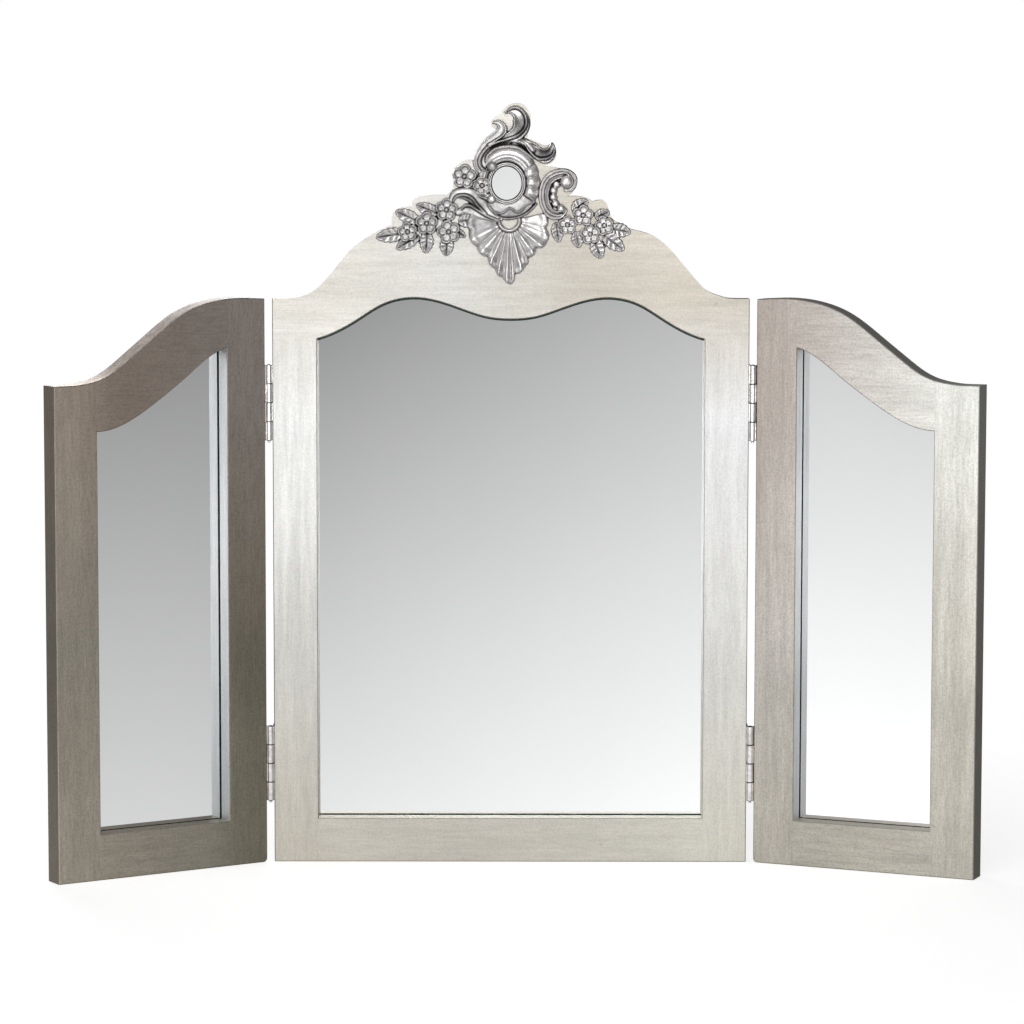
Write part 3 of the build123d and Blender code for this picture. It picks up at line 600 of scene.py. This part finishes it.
def side_scroll():
    """C-shaped scroll beside the surround, ruffled inside and ending in two volutes."""
    relief = Relief(25, 634, 66, 690)
    relief.ball(44.5, 673.7, 4.2, 5.2)
    relief.ball(41.7, 667.8, 4.2, 5.4)
    relief.ball(41.4, 661.2, 4.2, 5.4)
    relief.ball(43.5, 654.9, 4.2, 5.2)
    relief.trough((53.6, 668.2, 2, 5.5), (59.6, 670.8, 3.4, 7.2), (60.3, 679.2, 4.6, 8.4),
                  (54, 683.9, 5, 8.8), (44.5, 683.2, 5.2, 9), (36.1, 677.2, 5.2, 9),
                  (32.3, 666.4, 5.2, 9), (33.3, 654.9, 5.2, 9), (38.9, 645.4, 5, 8.8),
                  (47, 643.7, 4.4, 8.2), (52.2, 648.2, 3.2, 7), floor=0.66, left=1.0, right=0.9)
    relief.ridge((58.2, 681.4, 1.1, 8.8), (52.9, 684.9, 1.4, 9.4), (44.5, 683.9, 1.5, 9.6),
                 (36.1, 678.6, 1.5, 9.6), (31.6, 668.9, 1.5, 9.6), (31.9, 656.3, 1.5, 9.6),
                 (36.5, 647.2, 1.5, 9.4), (44.5, 643.4, 1.4, 9), (50.5, 644.7, 1.1, 8.4))
    relief.ball(54.5, 676.5, 6.8, 10.4, side=0.6)
    relief.ball(49.1, 650, 4.4, 9.4, side=0.6)
    relief.patina -= 0.08
    return relief


SHELL_EYE = (-1.8, 638.4)               # where the flutes run together, in the middle of the half ring
SHELL_RING = 9.9                        # radius of the half ring
# where the edge draws in between two flutes, from the right-hand end to the left
SHELL_TIPS = [(33, 646), (34.6, 631), (34.6, 616.3), (25, 611.5), (17, 602), (15, 595), (4, 586),
              (1.2, 576.2), (-8.6, 583), (-15.5, 591), (-23, 602.7), (-33.5, 612.5), (-41, 629),
              (-42, 641), (-34, 650)]


def shell():
    """Fluted shell that fans out below the surround from a half ring."""
    relief = Relief(-46, 573, 38, 654)
    eye_x, eye_z = SHELL_EYE
    dx, dz = relief.x - eye_x, relief.z - eye_z
    reach = np.hypot(dx, dz)
    angle = np.degrees(np.arctan2(-dx, -dz))
    tip_angles = [degrees(atan2(eye_x - x, eye_z - z)) for x, z in SHELL_TIPS]
    tip_reach = [hypot(x - eye_x, z - eye_z) for x, z in SHELL_TIPS]
    phase = np.interp(angle, tip_angles, range(len(SHELL_TIPS)))
    bulge = np.sin(pi * (phase % 1))
    edge = np.interp(angle, tip_angles, tip_reach) + 2.2 * bulge**0.7
    t = reach / edge
    # the flutes grow faint towards the shell's two ends
    calm = np.clip((84 - np.abs(angle)) / 22, np.where(angle > 0, 0.12, 0.5), 1)
    fine = 0.11 * np.cos(4 * pi * phase) * np.clip(2 - np.abs(phase - 6.5) / 3, 0, 1)
    rib = bulge**np.clip(1.5 - t, 0.6, 1.3) + fine
    flutes = 2.4 + 3.4 * calm * rib * np.clip(t * 1.2 - 0.14, 0, 1)**0.7
    flutes += 1.2 * np.exp(-((t - 0.9) / 0.09)**2) - 1.2 * np.exp(-((reach - 14) / 4)**2)
    relief.patina = 0.4 * (1 - calm) * (angle > 0) - 0.12
    within = (angle > tip_angles[0]) & (angle < tip_angles[-1])
    relief.cover(np.where(within, (edge - reach) / (1.3 * SOFT), -1), flutes)
    ring = np.abs(reach - SHELL_RING)
    bead = 5.6 * np.sqrt(np.clip(1 - (ring / 2.3)**2, 0, 1)) + 0.6
    relief.cover(np.minimum(2.1 - ring, 641.5 - relief.z) / SOFT, bead)
    relief.h = np.where(reach < 7.6, -1, relief.h)
    return relief


def flower_pair():
    """The two flowers left of the oval glass."""
    relief = Relief(-58, 663, -18, 694)
    relief.flower(-28.3, 672.4, 9.6, turn=20, lift=4.6)
    relief.flower(-45.8, 681.3, 12.4, turn=-8, lift=4.2)
    return relief


def left_spray():
    """Flowers and leaves along the left slope of the crest."""
    relief = Relief(-136, 601, -33, 663)
    for leaf in ((-104, 626, -133, 621.4, 6.6), (-90, 637, -113.5, 647.5, 6.4),
                 (-71, 645, -93.2, 653.8, 5.8), (-90, 624, -113, 610, 6.0), (-82, 627, -83.9, 605.6, 6.4),
                 (-62.5, 622, -63.8, 603.2, 6.4), (-52, 637.4, -35, 639, 6.2),
                 (-54, 629, -44.6, 621.6, 3.6)):
        relief.leaf(*leaf)
    relief.flower(-101.4, 627, 10.2, turn=10)
    relief.flower(-82.7, 635.4, 11.8, turn=0, lift=3.0)
    relief.flower(-61.1, 627.2, 12.2, turn=14)
    relief.flower(-63.2, 648.7, 11.8, turn=-4, lift=3.4)
    return relief


def right_spray():
    """Flowers and leaves along the right slope of the crest."""
    relief = Relief(34, 598, 121, 662)
    relief.patina -= 0.07
    for leaf in ((60, 647, 75.5, 658.6, 6.6), (82, 641, 97, 647.6, 5.4), (97, 631, 118, 626.6, 6.4),
                 (90, 625, 111.6, 609, 6.8), (81.6, 620, 88.8, 601, 6.6), (64, 628, 66.8, 611.4, 5.6),
                 (44, 637, 47.2, 616.6, 5.6)):
        relief.leaf(*leaf)
    relief.flower(91.6, 633.5, 10.2, turn=16)
    relief.flower(55.4, 634.1, 10.0, turn=4, lift=3.0)
    relief.flower(70.7, 643.5, 10.8, turn=-6, lift=3.2)
    relief.flower(77.9, 625.2, 10.6, turn=8, lift=3.4)
    return relief


CASTINGS = {
    "crest_top_scroll": top_scroll,
    "crest_cartouche": cartouche,
    "crest_lower_scroll": lower_scroll,
    "crest_side_scroll": side_scroll,
    "crest_shell": shell,
    "crest_flower_pair": flower_pair,
    "left_flower_spray": left_spray,
    "right_flower_spray": right_spray,
}
silver = cast_silver()
for node, carve in CASTINGS.items():
    casting(node, carve(), silver)
bezel(silver)


# ---------------------------------------------------------------- mirrors
SILVERING = 2.2             # glass face to silvering
SILVERING_DEPTH = 0.8       # thickness of the silvered sheet
GLASS_THICKNESS = 3.0
# width of the dark line at a glass's sides, top and foot, partly the glass's own dark edge and partly
# painted shade in the rebate
EDGE_AND_SHADE_LINE = {"centre": (0.0, 2.8, 1.2), "left_wing": (0.5, 0.4, 0.5), "right_wing": (0.5, 0.4, 0.5)}
OVAL_TIP = 3.8              # degrees that the oval glass leans forward
REBATE = 5.2                # glass beyond the opening


def front_outline(node, front):
    """Points round the front face of a flat CAD node, in order."""
    mesh = nodes[node].data
    level = max(Vector(v.co).dot(front) for v in mesh.vertices) - 0.0002
    edges = {}
    for polygon in mesh.polygons:
        if polygon.normal.dot(front) > 0.99 and polygon.center.dot(front) > level:
            for key in polygon.edge_keys:
                ends = [tuple(round(c, 6) for c in mesh.vertices[i].co) for i in key]
                edges.setdefault(tuple(sorted(ends)), []).append(polygon.index)
    links = {}
    for (a, b), uses in edges.items():
        if len(uses) == 1:
            links.setdefault(a, []).append(b)
            links.setdefault(b, []).append(a)
    start = min(links)
    outline, previous, here = [start], None, start
    while True:
        following = [p for p in links[here] if p != previous]
        if not following or following[0] == start:
            break
        previous, here = here, following[0]
        outline.append(here)
    return [Vector(p) for p in outline]


def panel_mirror(node, body, front):
    """Silvering seen through its glass, with a dark line where the glass meets its frame, partly the
    glass's edge and partly painted shade.
    """
    side_line, top_line, foot_line = EDGE_AND_SHADE_LINE[node.removesuffix("_mirror")]
    across = Vector((0, 0, 1)).cross(front)
    outline = front_outline(node, front)
    runs = [p.dot(across) for p in outline]
    middle = (max(runs) + min(runs)) / 2
    width = max(runs) - min(runs)
    foot = min(p.z for p in outline)

    def shifted(point, sides, top, bottom):
        """The same point with the outline drawn in by some millimetres."""
        run = point.dot(across)
        moved = point + across * (run - middle) * (-2 * sides * MM / width)
        moved.z += bottom * MM if point.z - foot < 0.001 else -top * MM
        return moved

    inner = [shifted(p, REBATE + side_line, REBATE + top_line, REBATE + foot_line) for p in outline]
    count = len(outline)
    sunk = front * (-SILVERING * MM)
    back = front * (-(SILVERING + SILVERING_DEPTH) * MM)
    points = [p + sunk for p in outline] + [p + sunk for p in inner] + [p + back for p in outline]
    loop = [(i, (i + 1) % count) for i in range(count)]
    faces = [tuple(range(count, 2 * count)), tuple(reversed(range(2 * count, 3 * count)))]
    faces += [(a, b, b + count, a + count) for a, b in loop]
    faces += [(b, a, a + 2 * count, b + 2 * count) for a, b in loop]
    mesh = bpy.data.meshes.new(node + "_silvering")
    mesh.from_pydata([tuple(p) for p in points], [], faces)
    mesh.materials.append(silvered)
    mesh.materials.append(edge_and_shade)
    # the inner ring and the sides: the glass's dark edge with painted rebate shade
    mesh.polygons.foreach_set("material_index", [0, 1] + [1] * (2 * count))
    if mesh.polygons[0].normal.dot(front) < 0:
        mesh.flip_normals()
    join_frame(mesh, body, "mirror_glass", node)


def oval_glass():
    """Small oval glass, tipped a little towards the table, with a ground edge."""
    low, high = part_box("crest_oval_mirror")
    middle = (low + high) / 2
    half_x = (high.x - low.x) / 2
    half_z = (high.z - low.z) / 2
    tip = sin(radians(OVAL_TIP))
    rings = ((1.0, 0.6), (0.93, 0.0))       # share of the radius, and setback in millimetres
    sides = 96
    points = []
    for share, setback in rings:
        for i in range(sides):
            x = share * half_x * cos(2 * pi * i / sides)
            z = share * half_z * sin(2 * pi * i / sides)
            points.append((middle.x + x, low.y - z * tip + setback * MM, middle.z + z))
    points += [(x, high.y, z) for x, _, z in points[:sides]]
    faces = [tuple(range(sides, 2 * sides)), tuple(range(3 * sides - 1, 2 * sides - 1, -1))]
    for i in range(sides):
        j = (i + 1) % sides
        faces += [(i, j, j + sides, i + sides), (j, i, i + 2 * sides, j + 2 * sides)]
    mesh = bpy.data.meshes.new("crest_oval_mirror_glass")
    mesh.from_pydata(points, [], faces)
    mesh.materials.append(silvered)
    join_frame(mesh, "centre_panel", "mirror_glass", "crest_oval_mirror")


silvered = mirror_glass()
edge_and_shade = glass_edge_and_shade()


def wing_front(side_name):
    """A wing's fold, in radians, and the unit vector out of its face, from its mirror's box at rest.

    The box of a turned glass also takes in its thickness, so the fold is found in a few rounds.
    """
    low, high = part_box(f"{side_name}_wing_mirror")
    thickness = GLASS_THICKNESS * MM
    side = SIDES[side_name]
    fold = atan2(high.y - low.y, high.x - low.x)
    for _ in range(20):
        width = (high.x - low.x - thickness * sin(fold)) / cos(fold)
        fold = atan2(high.y - low.y - thickness * cos(fold), width * cos(fold))
    return fold, Vector((-side * sin(fold), -cos(fold), 0))


oval_glass()
panel_mirror("centre_mirror", "centre_panel", Vector((0, -1, 0)))
FOLDS = {}
for side_name in SIDES:
    FOLDS[side_name], wing_normal = wing_front(side_name)
    panel_mirror(f"{side_name}_wing_mirror", f"{side_name}_wing", wing_normal)


# ---------------------------------------------------------------- materials of the CAD nodes
# the tone over each panel at rest, partly the paint's own unevenness and partly painted light and shade:
# the left wing darker than the right, the centre brightest at its shoulders; rows of a height and of (x,
# tone) places, in millimetres
PAINT_AND_LIGHT_TONES = {
    "left": ((30, (-425, (0.83, 0.74, 0.61)), (-380, (0.79, 0.71, 0.59)), (-300, (0.62, 0.58, 0.48)),
              (-258, (0.48, 0.44, 0.34))),
             (230, (-420, (0.61, 0.56, 0.47)), (-262, (0.39, 0.35, 0.27))),
             (455, (-418, (0.71, 0.60, 0.50)), (-385, (0.54, 0.44, 0.37)), (-262, (0.57, 0.50, 0.45)))),
    "centre": ((30, (-212, (0.85, 0.80, 0.70)), (0, (0.88, 0.84, 0.75)), (212, (0.97, 0.94, 0.83))),
               (200, (-212, (0.73, 0.72, 0.68)), (212, (0.90, 0.89, 0.85))),
               (440, (-212, (0.92, 0.92, 0.90)), (212, (0.97, 0.97, 0.97))),
               (560, (-180, (0.78, 0.75, 0.69)), (-60, (0.73, 0.72, 0.68)),
                (60, (0.67, 0.63, 0.56)), (180, (0.76, 0.71, 0.62)))),
    "right": ((30, (258, (0.82, 0.77, 0.67)), (330, (0.76, 0.72, 0.62)), (425, (0.82, 0.78, 0.68))),
              (230, (262, (0.85, 0.80, 0.74)), (420, (0.86, 0.82, 0.73))),
              (460, (262, (0.73, 0.65, 0.59)), (340, (0.92, 0.88, 0.82)), (425, (1.0, 1.0, 0.94)))),
}
PAINT_WEAR = {"left": 1.1, "centre": 0.6, "right": 1.0}


def paint_lit_lip(piece, side_name, lip):
    """Give the wall of a wing's opening, on the hinge side, a lighter tone, which is painted light falling
    on that wall.
    """
    mesh = piece.data
    mesh.materials.append(lip)
    outward = Vector((SIDES[side_name] * cos(FOLDS[side_name]), -sin(FOLDS[side_name]), 0))
    for polygon in mesh.polygons:
        if polygon.normal.dot(outward) > 0.9:
            polygon.material_index = 1


def paint_nodes():
    """Give every CAD node that still shows its finish."""
    upright, level = {}, {}
    # each panel's paint carries its painted light and shade in its tones
    for panel, tones in PAINT_AND_LIGHT_TONES.items():
        turned = SIDES.get(panel, 0) * degrees(FOLDS.get(panel, 0))
        upright[panel] = brushed_paint("silver_paint_and_light_upright_" + panel, "z", tones, 0, PAINT_WEAR[panel])
        level[panel] = brushed_paint("silver_paint_and_light_level_" + panel, "x", tones, turned, PAINT_WEAR[panel])
    level["crest"] = level["centre"]
    # a lighter tone for the opening's wall by the hinge: painted light on that wall
    lit_lip_tones = ((0, (-250, (0.62, 0.635, 0.65)), (250, (0.64, 0.65, 0.66))),)
    lip = brushed_paint("silver_paint_lit_lip", "z", lit_lip_tones, 0, 0.6)
    steel = {}
    for row in ("lower", "upper"):
        low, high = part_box(f"left_{row}_hinge_centre_leaf")
        bottom, top = low.z / MM, high.z / MM
        steel[row] = plated(f"nickel_plate_{row}", (0.97, 0.955, 0.945), 0.10, 700,
                            (bottom, (top - bottom) / HINGE_KNUCKLES))
    zinc = plated("zinc_screws", (0.62, 0.62, 0.61), 0.3, 1500)
    board, wood = hardboard(), beech()
    for name, piece in nodes.items():
        panel = name.split("_")[0]
        if name.endswith("stile"):
            look = upright[panel]
        elif name.endswith("rail") or name == "crest_board":
            look = level[panel]
        elif name.endswith("backboard"):
            look = board
        elif name.endswith("dowels"):
            look = wood
        elif name.endswith("screws"):
            look = zinc
        elif "hinge" in name:
            look = steel[name.split("_")[1]]
        elif name.endswith("mirror"):
            look = silvered
        else:       # the crest's plain mouldings, which the castings stand for
            look = silver
        piece.data.materials.clear()
        piece.data.materials.append(look)
        # the hinge-side wall of the opening gets its painted light
        if name.endswith("wing_inner_stile"):
            paint_lit_lip(piece, panel, lip)


paint_nodes()


# ---------------------------------------------------------------- floor, world, lights and camera
# metres, degrees and, for the lens and its sensor, millimetres
FLOOR_RADIUS = 1.3
FLOOR_DROP = 0.0003         # below the object's feet
FLOOR_GLOW = 0.74           # light of the floor's own, which keeps it nearly white
CAMERA_PLACE = (0.0009, -3.7728, 0.7241)
CAMERA_DIP = 5.67
CAMERA_ROLL = -0.07
LENS = 134.33
SENSOR = 36.0


def floor():
    """Pale floor that fades out round the object."""
    bpy.ops.mesh.primitive_circle_add(vertices=96, radius=FLOOR_RADIUS, fill_type="NGON",
                                      location=(0, 0, -FLOOR_DROP))
    disc = bpy.context.active_object
    disc.name = "floor"
    look = Look("pale_floor", Roughness=0.7, Emission_Color=(1, 1, 1, 1), Emission_Strength=FLOOR_GLOW)
    where = look.node("ShaderNodeTexCoord").outputs["Object"]
    mottle = look.noise(where, 6.0, 3.0, 0.5)
    look.set("Base Color", look.ramp(mottle, (0.3, 0.50), (0.7, 0.53)))
    reach = look.node("ShaderNodeVectorMath", {"operation": "LENGTH"}, _0=where).outputs["Value"]
    look.set("Alpha", look.ramp(reach, (0.42, 1.0), (0.95, 0.0)))
    disc.data.materials.append(look.material)
    disc.visible_glossy = False
    disc.visible_diffuse = False


def turn(azimuth):
    """Place along the world's ramps of an azimuth, in degrees from the panel's front towards +X."""
    return azimuth / 360 + 0.5


def studio():
    """White backdrop for the camera; for light, a dim room that is brighter towards the table in front."""
    world = bpy.data.worlds.new("studio")
    bpy.context.scene.world = world
    world.use_nodes = True
    tools = NodeTree(world.node_tree)
    way = tools.node("ShaderNodeTexCoord").outputs["Generated"]
    axes = tools.node("ShaderNodeSeparateXYZ", Vector=way).outputs
    azimuth = tools.math("ARCTAN2", axes["X"], tools.math("MULTIPLY", axes["Y"], -1.0))
    round_room = tools.math("ADD", tools.math("DIVIDE", azimuth, 2 * pi), 0.5)
    # how bright the room is each way, and how much brighter it gets towards the table there
    level = tools.ramp(round_room, (turn(-100), 0.15), (turn(-42), 0.41), (turn(-20), 0.23),
                       (turn(-3), 0.118), (turn(3), 0.34), (turn(20), 0.28), (turn(56), 0.12),
                       (turn(60), 0.14), (turn(70), 0.10), (turn(100), 0.07))
    slope = tools.ramp(round_room, (turn(-100), 0.08), (turn(-42), 0.80), (turn(0), 0.77),
                       (turn(58), 0.60), (turn(100), 0.08))
    height = tools.math("ADD", tools.math("MULTIPLY", axes["Z"], 0.5), 0.5)
    down = tools.ramp(height, (0.0, 0.08), (0.28, 0.12), (0.35, 0.5), (0.40, 1.0), (0.5, 0.0),
                      (0.6, 0.0), (1.0, 0.3))
    room = tools.mix(1.0, tools.multiply(down, slope), level, "ADD")
    seen = tools.node("ShaderNodeLightPath").outputs["Is Camera Ray"]
    background = tools.tree.nodes["Background"]
    tools.tree.links.new(tools.mix(seen, room, (1, 1, 1)), background.inputs["Color"])


def soft_light(name, spot, target, size, power):
    """A rectangular soft light aimed at a point, not seen by the camera."""
    data = bpy.data.lights.new(name, "AREA")
    data.shape = "RECTANGLE"
    data.energy = power
    data.size, data.size_y = size
    lamp = bpy.data.objects.new(name, data)
    bpy.context.scene.collection.objects.link(lamp)
    lamp.location = spot
    lamp.rotation_euler = (Vector(target) - Vector(spot)).to_track_quat("-Z", "Y").to_euler()
    lamp.visible_camera = False


def camera():
    """Long lens at the height of the crest, looking slightly down."""
    data = bpy.data.cameras.new("camera")
    data.lens = LENS
    data.sensor_width = SENSOR
    eye = bpy.data.objects.new("camera", data)
    bpy.context.scene.collection.objects.link(eye)
    eye.location = CAMERA_PLACE
    eye.rotation_euler = (radians(90 - CAMERA_DIP), radians(CAMERA_ROLL), 0)
    bpy.context.scene.camera = eye


floor()
studio()
soft_light("key", (-0.05, -1.35, 1.05), (0, 0, 0.45), (0.6, 0.4), 5.1)
soft_light("left_strip", (-0.45, -1.4, 0.24), (0, 0, 0.30), (0.24, 0.5), 2.0)
soft_light("right_strip", (0.42, -1.4, 0.24), (0, 0, 0.30), (0.24, 0.5), 1.4)
soft_light("back_fill", (-0.7, 1.8, 1.0), (0, 0, 0.40), (1.2, 0.8), 12)
camera()
bpy.context.scene.view_settings.view_transform = "Standard"
